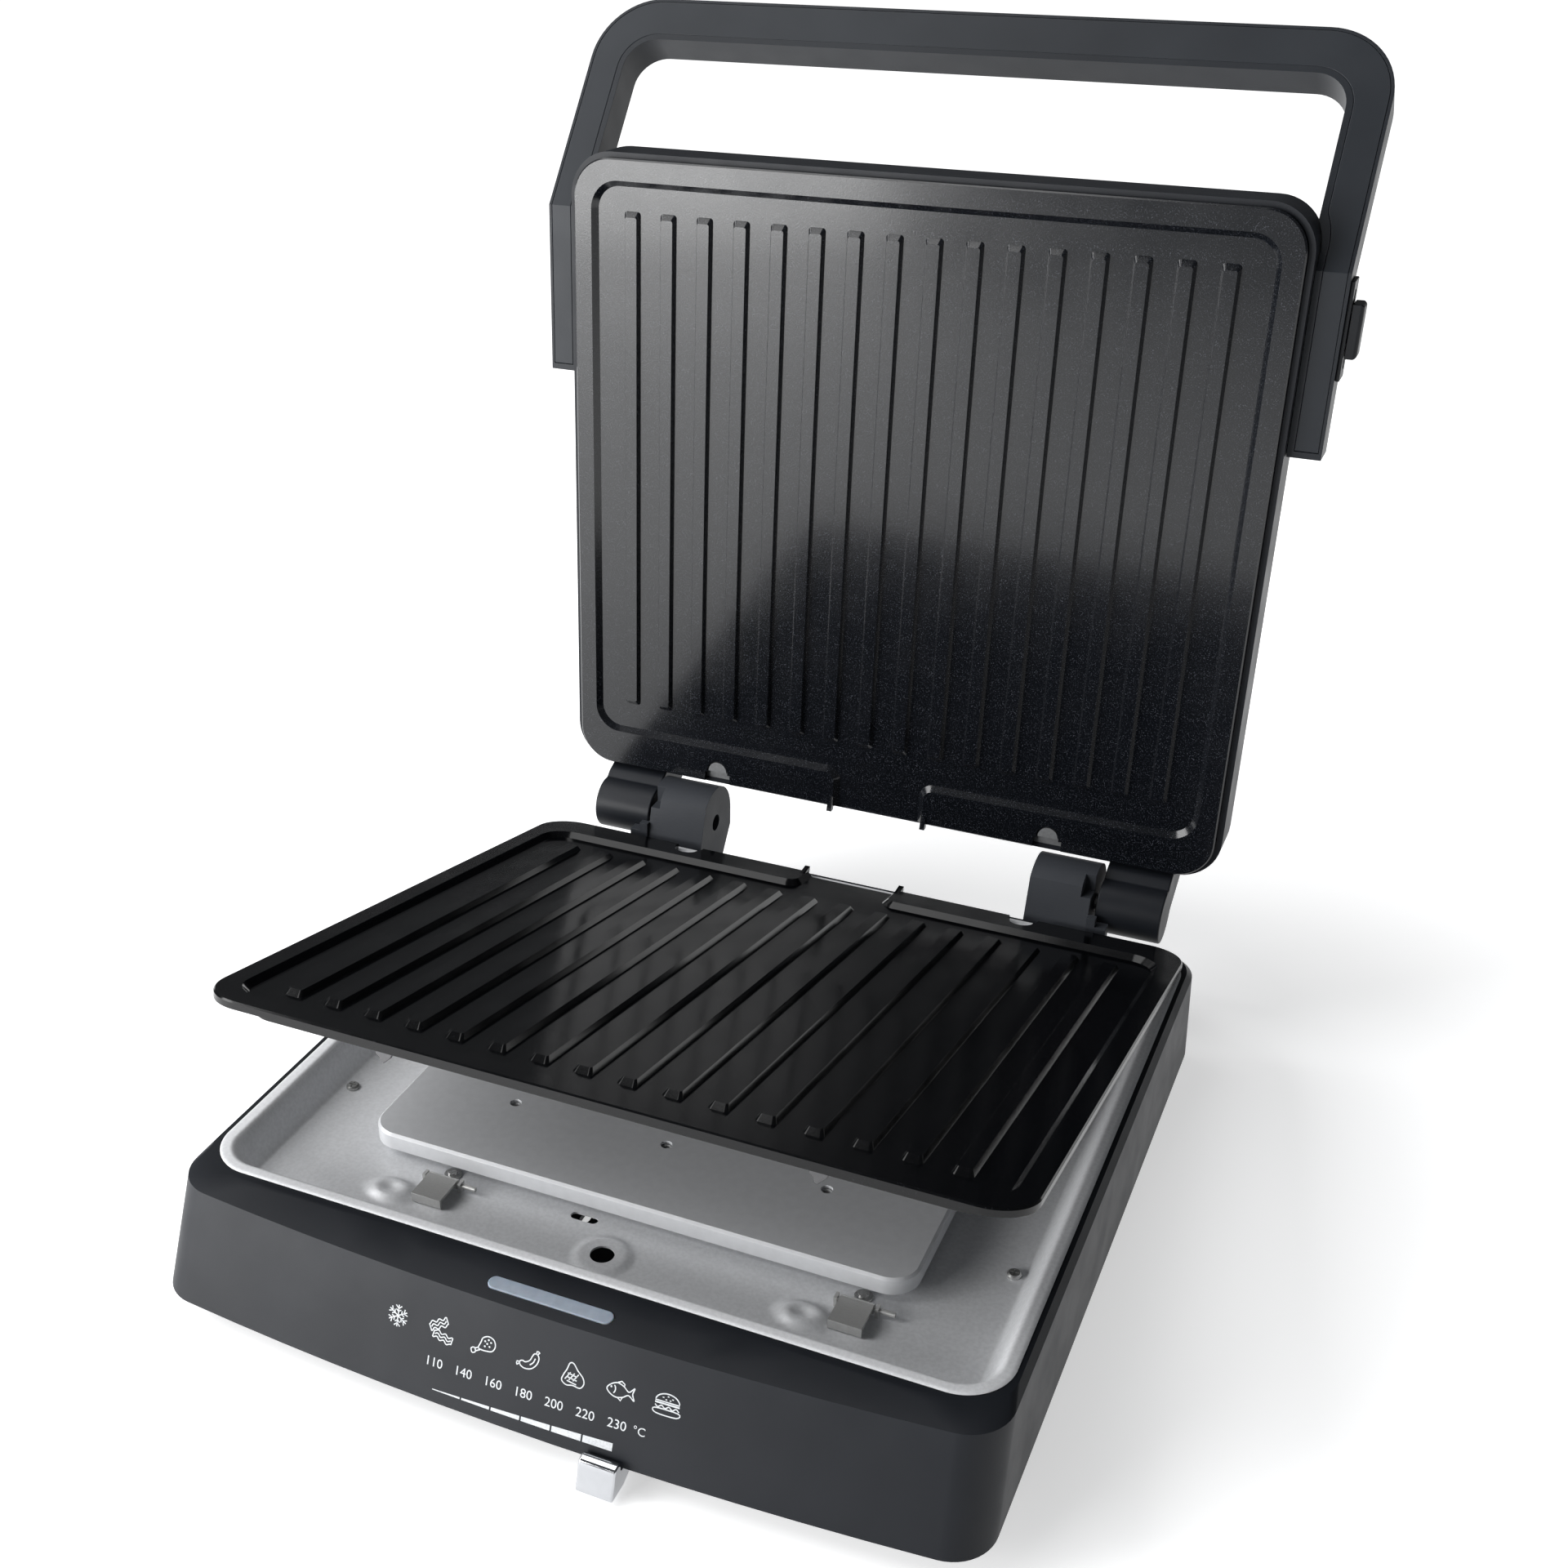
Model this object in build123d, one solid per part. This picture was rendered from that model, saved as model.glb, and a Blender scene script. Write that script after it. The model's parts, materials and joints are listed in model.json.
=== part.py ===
from build123d import *
import math
import os

# Contact grill, opened upright.  Millimetres.  +X right, +Y to the back, +Z up.
# Drawn around the middle of the base, then moved so that the origin is the middle of
# the whole outline, on the table.
MOVE_X = -3.2
MOVE_Y = -56.2

# ---------------------------------------------------------------- driving dimensions
PLATE_W = 309.6            # width of a grill plate
PLATE_D = 283.2            # front edge to hinge-side edge
PLATE_R = 17.0             # corner radius of a plate
FLANGE_T = 3.0             # thickness of a plate's rim flange
PLATE_H = 10.0             # whole height of a plate, ribs to skirt
FIELD_DEPTH = 2.5          # the field lies this far below the rim
RIM_SIDE = 8.4             # flat rim beside the field
RIM_HINGE = 17.2           # flat rim at the hinge side
RIB_COUNT = 16
RIB_PITCH = 17.0
RIB_LENGTH = 230.0
RIB_W = 7.9
RIB_FRONT = 21.3           # plate's front edge to the rib ends
SPOUT_HALF = 22.0          # half width of the drain spout

RIM_Z = 53.0               # tray rim above the table
HOUSE_BOTTOM = 10.0        # lower edge of the base housing
CREASE_Z = 50.0            # edge between fascia and bezel
FRONT_CREASE_Y = -142.0    # crease at the front corners
FRONT_BOTTOM_Y = -158.0    # fascia's lower edge at the front corners
FRONT_BOW = 6.0            # the front bows forward by this much
BEZEL_TOP_Y = -130.6       # where the bezel reaches its full height
HOUSE_REAR_Y = 165.0
HALF_CREASE = 158.8
HALF_BOTTOM = 160.6
CORNER_R = 17.0
WALL = 2.5

TRAY_W = 309.5
TRAY_FRONT = -128.0
TRAY_REAR = 162.0
TRAY_DEPTH = 14.0
TRAY_T = 0.8
TRAY_R = 19.0
LID_TRAY_D = 280.6         # the lid's tray is a little shorter
TRAY_FLANGE = 5.0
TRAY_SLOPE = 7.0

AXIS_Y = 184.0             # hinge axis of the lid
AXIS_Z = 57.0
BLOCK_R = 18.0
BLOCK_X = (79.5, 107.8)    # base hinge blocks, on each side of the middle
BARREL_R = 12.5
BARREL_X = (110.0, 139.0)  # lid hinge barrels
AXLE_R = 4.0
RUNNING_FIT = 0.05

LID_Y = 191.0              # lid frame: rib plane, at the hinge-side rib ends
LID_Z = 107.3
LID_LEAN = 2.34            # degrees behind vertical at rest
LID_HALF = 157.5
LID_LOW = -33.0            # lid housing along the lid, from the hinge side
LID_TOP = 253.6
LID_BACK = 34.0
LID_R = 19.0

HANDLE_OUT = 171.2         # half width over the handle
HANDLE_ARM = 13.4          # width of the arms beside the lid
HANDLE_HIGH_ARM = 16.7     # width of the bent part of the arms
HANDLE_T = 15.0
HANDLE_FRONT = 8.0         # handle's front face behind the rib plane
ARM_END = 157.0
BEND_AT = 229.0
BEND = 37.0
HANDLE_REACH = 101.0       # bend to the outer edge of the bar
BAR_W = 19.5
INLAY_OUT = 1.3            # inlay edge to the handle's outer edge
INLAY_IN = 2.6             # inlay edge to the handle's inner edge

PLATE_TILT = 13.25         # lower plate, front lifted, at rest
SEAT_GAP = 0.3             # a plate sits this far over its tray's rim

HOOK_XS = (-86.0, 80.0)
LATCH_XS = (-72.5, 93.0)
TRAY_SCREWS = ((-138, -68), (138, -68), (-138, 100), (138, 100))
COVER_SCREWS = ((-153, -113), (153, -113), (-153, 66), (153, 147))
HANDLE_SCREWS = (172, 205)  # along the lid, where the handle's arms are screwed on
GLAND_X = 128.0
DRAWER_Y = (84.0, 160.4)   # drip drawer under the back of the tray
DRAWER_TOP = 31.0
DRAWER_END = 32.0          # it reaches this far past the middle

KNOB_X = 30.5
KNOB_W = 14.0
SLOT = (-44, 42, FRONT_BOTTOM_Y + 2, FRONT_BOTTOM_Y + 10)

parts = {}


# ---------------------------------------------------------------- helpers
def box(x0, x1, y0, y1, z0, z1):
    """Box from its two corners."""
    return Pos((x0 + x1) / 2, (y0 + y1) / 2, (z0 + z1) / 2) * Box(x1 - x0, y1 - y0, z1 - z0)


def rounded(x0, x1, y0, y1, radius, z):
    """Rounded rectangle as a face at height z."""
    sketch = RectangleRounded(x1 - x0, y1 - y0, radius)
    return Pos((x0 + x1) / 2, (y0 + y1) / 2, z) * sketch


def slab(x0, x1, y0, y1, radius, z0, z1):
    """Rounded plate between two heights."""
    return extrude(rounded(x0, x1, y0, y1, radius, z0), z1 - z0)


def frustum(outer, inner, z0, z1, radius0, radius1):
    """Pocket with sloped walls: outer rectangle at z0, inner one at z1."""
    return loft([rounded(*outer, radius0, z0).face(), rounded(*inner, radius1, z1).face()], ruled=True)


def rod(radius, x0, x1, y, z):
    """Round bar along X."""
    return Pos((x0 + x1) / 2, y, z) * Rot(0, 90, 0) * Cylinder(radius, x1 - x0)


def post(radius, x, y, z0, z1):
    """Round bar along Z."""
    return Pos(x, y, (z0 + z1) / 2) * Cylinder(radius, z1 - z0)


def side_prism(points, x0, x1):
    """Solid with its outline in the Y-Z plane, between two X positions."""
    outline = Polyline(*[(0, y, z) for y, z in points], close=True)
    return Pos(x0, 0, 0) * extrude(make_face(outline), x1 - x0, dir=(1, 0, 0))


def joined(pieces):
    """Fuse a list of solids."""
    pieces = list(pieces)
    return pieces[0].fuse(*pieces[1:]) if len(pieces) > 1 else pieces[0]


def group(pieces):
    """Keep separate solids together in one node."""
    return Compound(children=list(pieces))


def add(name, shape):
    parts[name] = shape


def pan_screw(x, y, z, head=2.65, length=7.0):
    """Pan-head screw, its head on the surface at z, shank down."""
    cap = post(head, x, y, z, z + 1.6)
    cap = chamfer(cap.faces().sort_by(Axis.Z)[-1].edges(), 0.6)
    shank = post(1.4, x, y, z - length, z)
    slot = box(x - 1.7, x + 1.7, y - 0.3, y + 0.3, z + 1.0, z + 2)
    cross = box(x - 0.3, x + 0.3, y - 1.7, y + 1.7, z + 1.0, z + 2)
    return (cap + shank) - slot - cross


# ---------------------------------------------------------------- grill plate
def recess_outline(grow, z):
    """Field and drain spout as one outline, grown outwards by the slope of its wall."""
    w = PLATE_W / 2
    d = PLATE_D / 2
    front = -d + RIM_SIDE + 0.6 + FIELD_DEPTH - grow
    back = d - RIM_HINGE - FIELD_DEPTH + grow
    side = w - RIM_SIDE - FIELD_DEPTH + grow
    half = SPOUT_HALF - FIELD_DEPTH + grow
    field = Pos(0, (front + back) / 2) * RectangleRounded(2 * side, back - front, 10 + grow)
    outline = field + Pos(0, (back + d) / 2) * Rectangle(2 * half, d - back + 4)
    corners = [v for v in outline.vertices() if abs(v.Y - back) < 0.01 and abs(abs(v.X) - half) < 0.01]
    return Pos(0, 0, z) * fillet(corners, 7 - grow).face()


def grill_plate():
    """Plate in its own frame: middle of its outline, rib plane at z = 0, hinge side at +y."""
    w = PLATE_W / 2
    d = PLATE_D / 2
    body = slab(-w, w, -d, d, PLATE_R, -FLANGE_T, 0)
    body = chamfer(body.faces().sort_by(Axis.Z)[-1].edges(), 0.6)
    body += slab(-w + 14, w - 14, -d + 12, d - 12, 10, -PLATE_H, -FLANGE_T)
    body -= slab(-w + 18, w - 18, -d + 16, d - 16, 8, -PLATE_H - 1, -FIELD_DEPTH - 3.3)
    body -= loft([recess_outline(0, -FIELD_DEPTH), recess_outline(FIELD_DEPTH, 0.01)], ruled=True)
    y0 = -d + RIB_FRONT
    for i in range(RIB_COUNT):
        x = (i - (RIB_COUNT - 1) / 2) * RIB_PITCH
        base = rounded(x - RIB_W / 2, x + RIB_W / 2, y0, y0 + RIB_LENGTH, 1.6, -FIELD_DEPTH - 0.2).face()
        top = rounded(x - 2.7, x + 2.7, y0 + 2.5, y0 + RIB_LENGTH - 2.5, 0.9, -0.3).face()
        body += loft([base, top], ruled=True)
    for side in (-1, 1):
        lip_x = side * (SPOUT_HALF + 1)
        lip = [(d - 5, -FIELD_DEPTH), (d - 5, 0), (d + 2, 1.8), (d + 2, -1.0)]
        body += side_prism(lip, lip_x - 1.2, lip_x + 1.2)
        mid = side * 81.5
        body -= box(mid - 6.5, mid + 6.5, d - 5, d + 3, -PLATE_H - 1, 1)
        body -= post(5.3, mid, d - 6, -PLATE_H - 1, 1)
    return body


def plate_hooks():
    """Two sheet-metal catches behind a plate's front skirt, plate frame."""
    y = -PLATE_D / 2 + 16.0
    catches = []
    for x in HOOK_XS:
        fin = [(x - 1.5, -11.5), (x + 5.5, -11.5), (x + 4.8, -13.4), (x + 2.0, -16.1), (x + 0.8, -15.9),
               (x + 0.2, -14.2), (x - 1.5, -13.0)]
        outline = make_face(Polyline(*[(px, y, pz) for px, pz in fin], close=True))
        catches.append(box(x - 6, x + 6, y, y + 1.2, -11.6, -6) + extrude(outline, 1.2, dir=(0, 1, 0)))
    return group(catches)


# ---------------------------------------------------------------- heat tray and what sits in it
def dimple(pan, x, y):
    """Pressed dimple in a tray floor, raised inside and hollow under it."""
    low = -TRAY_DEPTH
    foot = (x - 8.6, x + 8.6, y - 5, y + 5)
    top = (x - 6.2, x + 6.2, y - 2.6, y + 2.6)
    hollow_foot = (x - 7.6, x + 7.6, y - 4, y + 4)
    hollow_top = (x - 5.7, x + 5.7, y - 2.1, y + 2.1)
    pan += frustum(foot, top, low - 0.1, low + 1.7, 4.8, 2.5)
    return pan - frustum(hollow_foot, hollow_top, low - TRAY_T - 0.1, low + 0.9, 3.9, 2.0)


def heat_tray(d):
    """Pressed pan of half length d, rim plane at z = 0, hinge side at +y."""
    w = TRAY_W / 2
    mouth = (-w + TRAY_FLANGE, w - TRAY_FLANGE, -d + TRAY_FLANGE, d - TRAY_FLANGE)
    floor = tuple(v + s * TRAY_SLOPE for v, s in zip(mouth, (1, -1, 1, -1)))
    pan = slab(-w, w, -d, d, TRAY_R, -TRAY_T, 0)
    outer_mouth = tuple(v - s * TRAY_T for v, s in zip(mouth, (1, -1, 1, -1)))
    outer_floor = tuple(v - s * TRAY_T for v, s in zip(floor, (1, -1, 1, -1)))
    pan += frustum(outer_mouth, outer_floor, -0.2, -TRAY_DEPTH - TRAY_T, 14.8, 11.8)
    pan -= frustum(mouth, floor, 0.01, -TRAY_DEPTH, 14, 11)
    low = -TRAY_DEPTH
    for x in HOOK_XS:
        pan = dimple(pan, x - 2, -d + 27.5)
    pan += post(9, 0, -d + 26.6, low - TRAY_T, low + 0.6)
    pan -= post(4.5, 0, -d + 26.6, low - 2, low + 2)
    pan -= slab(-21, -10, -d + 41, -d + 45, 1.9, low - 2, low + 2)
    pan -= slab(-SPOUT_HALF, SPOUT_HALF, d - 4.2, d - 1.0, 1.5, -2, 1)
    for x, y in TRAY_SCREWS:
        pan -= post(1.6, x, y, low - 2, low + 2)
    for x in LATCH_XS:
        pan -= post(1.6, x, -d + 45, low - 2, low + 2)
    return pan


def tray_hardware():
    """Screws that hold a heat tray down, as loose solids."""
    d = -TRAY_DEPTH
    return [pan_screw(x, y, d) for x, y in TRAY_SCREWS]


def latch_rivets(d):
    """Two rivets with washers, one for each latch spring."""
    out = []
    for x in LATCH_XS:
        out.append(post(3.4, x, -d + 45, -TRAY_DEPTH, -TRAY_DEPTH + 0.7)
                   + post(1.9, x, -d + 45, -TRAY_DEPTH, -TRAY_DEPTH + 1.6)
                   + post(1.5, x, -d + 45, -TRAY_DEPTH - 4, -TRAY_DEPTH))
    return out


def latch_flap(x, d):
    """Sprung latch: a bent flap that turns on its pin, tray frame."""
    y = -d + 38
    z = -TRAY_DEPTH + 2.6
    flap = box(x - 6.2, x + 6.2, y - 13, y, z + 0.6, z + 1.8)
    flap += rod(1.9, x - 6.2, x + 6.2, y, z)
    flap += box(x - 6.2, x + 6.2, y - 13, y - 11.8, z - 2.0, z + 1.0)
    flap -= rod(1.0 + RUNNING_FIT, x - 9, x + 9, y, z)
    return flap


def latch_pin(x, d):
    """Fixed wire pin that a latch turns on, with its two ears."""
    y = -d + 38
    z = -TRAY_DEPTH + 2.6
    pin = rod(1.0, x - 8.2, x + 14, y, z)
    for side in (-8.2, 7.0):
        pin += box(x + side, x + side + 1.2, y - 1.6, y + 1.6, -TRAY_DEPTH, z + 1.6)
    return pin


def heating_block():
    """Cast aluminium block, tray frame, with a groove for its heater underneath."""
    top = -3.0
    block = slab(-110, 110, -100, 100, 11, top - 7, top)
    block = chamfer(block.faces().sort_by(Axis.Z)[-1].edges(), 1.0)
    block -= element(3.3)
    for x in (-65, 0, 65):
        for y in (-63, 63):
            block -= post(2.2, x, y, top - 8, top + 1)
    return block


def element(radius):
    """Heater loop: two long legs and a half-round end."""
    z = -10.0
    leg = 48
    turn = ThreePointArc((-40, -leg, z), (-40 - leg, 0, z), (-40, leg, z))
    path = Line((70, -leg, z), (-40, -leg, z)) + turn + Line((-40, leg, z), (70, leg, z))
    start = Plane(origin=(70, -leg, z), z_dir=(-1, 0, 0))
    return sweep(start * Circle(radius), path=path)


def block_feet():
    """Ceramic standoffs between tray floor and heating block."""
    return [post(5, x, y, -TRAY_DEPTH, -10.0) - post(2.0, x, y, -TRAY_DEPTH - 1, -9)
            for x in (-92, 92) for y in (-84, 84)]


def block_screws():
    """Screws sunk in the heating block."""
    return [post(1.9, x, y, -12, -4.2) for x in (-65, 0, 65) for y in (-63, 63)]


TRAY_MID = (TRAY_FRONT + TRAY_REAR) / 2
TRAY_HALF = (TRAY_REAR - TRAY_FRONT) / 2
BASE_TRAY = Location((0, TRAY_MID, RIM_Z))


def base_outline(z, half, front, rear, inset=0.0, bulge=FRONT_BOW):
    """Base plan outline: straight sides and back, bowed front, round corners."""
    h = half - inset
    y0 = front + inset
    y1 = rear - inset
    r = CORNER_R - inset
    corner_y = y0 + bulge * 0.4
    bow = ThreePointArc((-h, corner_y, z), (0, y0 - bulge, z), (h, corner_y, z))
    right = Line((h, corner_y, z), (h, y1, z))
    back = Line((h, y1, z), (-h, y1, z))
    left = Line((-h, y1, z), (-h, corner_y, z))
    face = make_face(bow + right + back + left)
    return fillet(face.vertices(), r).face()


def base_shape(inset, z0, z1, z2):
    """Base body between its lower edge, the crease and the top; inset makes the hollow."""
    low = base_outline(z0, HALF_BOTTOM, FRONT_BOTTOM_Y, HOUSE_REAR_Y + 1, inset)
    mid = base_outline(z1, HALF_CREASE, FRONT_CREASE_Y, HOUSE_REAR_Y, inset)
    body = loft([low, mid], ruled=True)
    if z2 > z1:
        top = base_outline(z2, HALF_CREASE - 2.2, BEZEL_TOP_Y, HOUSE_REAR_Y - 1.6, inset, 0.5)
        body += loft([mid, top], ruled=True)
    return body


def base_housing():
    shell = base_shape(0, HOUSE_BOTTOM, CREASE_Z, RIM_Z - 0.4)
    shell -= base_shape(WALL, HOUSE_BOTTOM - 0.01, CREASE_Z - WALL, 0)
    w = TRAY_W / 2
    front = TRAY_FRONT - 0.4
    rear = TRAY_REAR + 0.4
    shell -= slab(-w - 0.4, w + 0.4, front, rear, TRAY_R + 0.4, RIM_Z - TRAY_T, RIM_Z + 3)
    shell -= slab(-w + 3.6, w - 3.6, front + 4, rear - 4, 15, CREASE_Z - 10, RIM_Z)
    shell -= LIGHT_PLACE * slab(-24.2, 24.2, -3.0, 3.0, 2.95, -8, 5)
    shell -= box(-SPOUT_HALF, SPOUT_HALF, TRAY_REAR - 5, TRAY_REAR - 1, CREASE_Z - 10, RIM_Z)
    bay = box(-HALF_BOTTOM - 2, -138, DRAWER_Y[0] - 1.4, DRAWER_Y[1] + 0.6, 13.2, DRAWER_TOP + 3)
    shell -= bay
    shell -= Pos(GLAND_X, HOUSE_REAR_Y, 26) * Rot(90, 0, 0) * Cylinder(7.5, 12)
    for x, y in COVER_SCREWS:
        shell += post(4, x, y, 13, CREASE_Z - 2) - post(1.4, x, y, 12, 30)
    for side in (-1, 1):
        for x, z in hinge_screw_places(side):
            shell -= Pos(x, HOUSE_REAR_Y, z) * Rot(90, 0, 0) * Cylinder(1.8, 12)
    return shell


LIGHT_PLACE = Location((0, -140.4, 51.25), (8.5, 0, 0))


def hinge_screw_places(side):
    """Two screws hold each hinge block to the back wall: x and z of each."""
    middle = side * (BLOCK_X[0] + BLOCK_X[1]) / 2
    return ((middle - 8, 44.0), (middle + 8, 44.0))


def bottom_cover():
    low = base_outline(HOUSE_BOTTOM, HALF_BOTTOM, FRONT_BOTTOM_Y, HOUSE_REAR_Y + 1, WALL + 1.4)
    cover = extrude(low, 2.5, dir=(0, 0, 1))
    cover -= box(*SLOT, 0, 20)
    for x, y in COVER_SCREWS:
        cover -= post(1.6, x, y, 5, 20)
    for i in range(9):
        cover -= slab(-60 + 15 * i - 2, -60 + 15 * i + 2, -60, -20, 1.9, 5, 20)
    return cover


def cover_screw(x, y):
    """Self-tapping screw up into a post of the housing."""
    return post(2.8, x, y, 8.1, 9.9) + post(1.3, x, y, 9.9, 24)


def build_base():
    add("base_housing", base_housing())
    add("base_bottom_cover", bottom_cover())
    add("heat_tray_lower", BASE_TRAY * heat_tray(TRAY_HALF))
    add("tray_screws", BASE_TRAY * group(tray_hardware()))
    add("heating_block_lower", BASE_TRAY * heating_block())
    add("heater_element_lower", BASE_TRAY * element(3.2))
    add("block_standoffs_lower", BASE_TRAY * group(block_feet()))
    add("block_screws_lower", BASE_TRAY * group(block_screws()))
    add("latch_rivets_lower", BASE_TRAY * group(latch_rivets(TRAY_HALF)))
    add("latch_pins_lower", BASE_TRAY * group(latch_pin(x, TRAY_HALF) for x in LATCH_XS))
    add("latch_lower_left", BASE_TRAY * latch_flap(LATCH_XS[0], TRAY_HALF))
    add("latch_lower_right", BASE_TRAY * latch_flap(LATCH_XS[1], TRAY_HALF))
    bar = slab(-24, 24, -2.8, 2.8, 2.75, -6, 0.35)
    bar = chamfer(bar.faces().sort_by(Axis.Z)[-1].edges(), 0.3)
    add("light_bar", LIGHT_PLACE * bar)
    board = LIGHT_PLACE * box(-30, 30, -5, 5, -8.6, -7.0)
    leds = [LIGHT_PLACE * box(x - 1.6, x + 1.6, -1.4, 1.4, -7.0, -6.0) for x in (-15, 0, 15)]
    add("indicator_board", joined([board] + leds))
    add("bottom_screws", group(cover_screw(x, y) for x, y in COVER_SCREWS))
    feet = [post(9, x, y, 0, 10) - post(3, x, y, -1, 3) for x in (-128, 128) for y in (-122, 134)]
    add("rubber_feet", group(feet))
    gland = Cylinder(7.4, 9) + Pos(0, 0, -3.5) * Cylinder(9.5, 3) - Cylinder(3.6, 40)
    add("cord_gland", Pos(GLAND_X, HOUSE_REAR_Y, 26) * Rot(90, 0, 0) * gland)
    terminal = box(96, 128, 108, 122, 12.5, 27)
    for i in range(3):
        terminal -= post(2, 104 + 8 * i, 115, 22, 28)
    add("terminal_block", terminal)
    fuse_z = -TRAY_DEPTH - 3.3
    add("thermal_fuse", BASE_TRAY * (rod(2.4, 20, 40, 10, fuse_z) + rod(0.6, 8, 52, 10, fuse_z)))
    body = box(-46, 44, -130, -112, 13, 30) - box(-44, 42, -131, -114, 16, 25)
    add("thermostat", body)


# ---------------------------------------------------------------- temperature slider
def build_slider():
    """Chrome knob in front of the fascia, on a carriage that runs in a slot underneath."""
    y0 = FRONT_BOTTOM_Y - FRONT_BOW - 0.9
    outline = [(y0 + 1.0, 12.6), (y0 - 1.0, 13.4), (y0 - 3.4, 12.8), (y0 - 4.4, 10.6), (y0 - 5.2, 7.2),
               (y0 - 7.2, 2.6), (y0 - 6.8, 1.2), (y0 + 2.0, 1.2), (y0 + 9.0, 4.0), (y0 + 10.0, 7.4),
               (y0 + 10.0, 9.3), (y0 + 0.4, 9.3)]
    add("slider_knob", side_prism(outline, KNOB_X - KNOB_W / 2, KNOB_X + KNOB_W / 2))
    x0 = KNOB_X - 4
    x1 = KNOB_X + 4
    rise = FRONT_BOTTOM_Y + 5
    stem = box(x0, x1, y0 + 10.0, rise + 1, 8.1, 9.3)
    stem += box(x0, x1, rise - 1, rise + 1, 8.1, 21)
    stem += box(x0, x1, rise - 1, -118, 19.5, 21)
    add("slider_carriage", stem)


# ---------------------------------------------------------------- hinge
def hinge_block_body(x0, x1):
    """Block with a leaning front face and a round back, screwed to the back wall."""
    front = (AXIS_Y - 12, AXIS_Z + 13.42)
    over = ThreePointArc((0, *front), (0, AXIS_Y + 7, AXIS_Z + 16.58), (0, AXIS_Y + BLOCK_R, AXIS_Z))
    rest = [(AXIS_Y + BLOCK_R, AXIS_Z), (AXIS_Y + BLOCK_R, 48.0), (AXIS_Y + 8, 34.0),
            (HOUSE_REAR_Y + 1.2, 20.0), (HOUSE_REAR_Y + 0.5, 50.0), front]
    sides = Polyline(*[(0, y, z) for y, z in rest])
    return Pos(x0, 0, 0) * extrude(make_face(over + sides), x1 - x0, dir=(1, 0, 0))


def build_hinge():
    for name, side in (("left", -1), ("right", 1)):
        x0, x1 = sorted((side * BLOCK_X[0], side * BLOCK_X[1]))
        block = hinge_block_body(x0, x1)
        tab = sorted((side * BLOCK_X[1], side * (BLOCK_X[1] + 9)))
        step = sorted((side * BLOCK_X[1], side * (BLOCK_X[1] + 4)))
        block += box(*tab, HOUSE_REAR_Y + 0.5, AXIS_Y - BARREL_R - 0.6, 43, 55)
        block += box(*step, HOUSE_REAR_Y + 0.5, AXIS_Y - BARREL_R - 2.5, 43, 59)
        notch = sorted((side * (BLOCK_X[1] - 4.5), side * (BLOCK_X[1] + 1)))
        block -= box(*notch, AXIS_Y - 14, AXIS_Y - 6, AXIS_Z + 9, AXIS_Z + 22)
        block -= rod(AXLE_R, x0 - 1, x1 + 1, AXIS_Y, AXIS_Z)
        for x, z in hinge_screw_places(side):
            block -= Pos(x, HOUSE_REAR_Y + 6, z) * Rot(90, 0, 0) * Cylinder(1.5, 12)
        add("hinge_block_" + name, block)
        a0, a1 = sorted((side * (BLOCK_X[0] + 6), side * (BARREL_X[1] - 3)))
        add("hinge_axle_" + name, rod(AXLE_R, a0, a1, AXIS_Y, AXIS_Z))
        screws = []
        for x, z in hinge_screw_places(side):
            turn = Pos(x, HOUSE_REAR_Y, z) * Rot(90, 0, 0)
            screws.append(turn * (Pos(0, 0, 3.4) * Cylinder(3.0, 1.6) + Pos(0, 0, -3) * Cylinder(1.4, 11.4)))
        add("hinge_screws_" + name, group(screws))


# ---------------------------------------------------------------- lid
LID = Location((0, LID_Y, LID_Z), (-LID_LEAN, 0, 0))
# Lid frame: x across, y to the back, z along the lid away from the hinge.
LID_MID = -31.8 + PLATE_D / 2
# Plate frames stand upright in the lid: plate +y points to the hinge, plate +z to the front.
UPPER_PLATE = LID * Location((0, 0, LID_MID), (90, 0, 0)) * Location((0, 0, 0), (0, 0, 180))
UPPER_TRAY = LID * Location((0, FLANGE_T + SEAT_GAP, LID_MID), (90, 0, 0)) * Location((0, 0, 0), (0, 0, 180))


def lid_slab(half, low, top, radius, y0, y1):
    """Rounded plate standing in the lid frame."""
    face = Pos(0, y0, (low + top) / 2) * Rot(90, 0, 0) * RectangleRounded(2 * half, top - low, radius)
    return extrude(face, y1 - y0, dir=(0, 1, 0))


def lid_housing():
    y0 = FLANGE_T + SEAT_GAP
    shell = lid_slab(LID_HALF, LID_LOW, LID_TOP, LID_R, y0, LID_BACK)
    shell = fillet(shell.faces().sort_by(Axis.Y)[-1].edges(), 11)
    hollow = lid_slab(LID_HALF - WALL, LID_LOW + WALL, LID_TOP - WALL, LID_R - WALL, y0 - 1, LID_BACK - WALL)
    hollow = fillet(hollow.faces().sort_by(Axis.Y)[-1].edges(), 9)
    shell -= hollow
    for side in (-1, 1):
        for z in HANDLE_SCREWS:
            shell -= rod(1.8, *sorted((side * (LID_HALF - 4), side * (LID_HALF + 1))), 16, z)
    for x in (-146, 146):
        for z in (0, 220):
            shell += Pos(x, 25.5, z) * Rot(90, 0, 0) * Cylinder(4.5, 12.6)
    return shell


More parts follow.
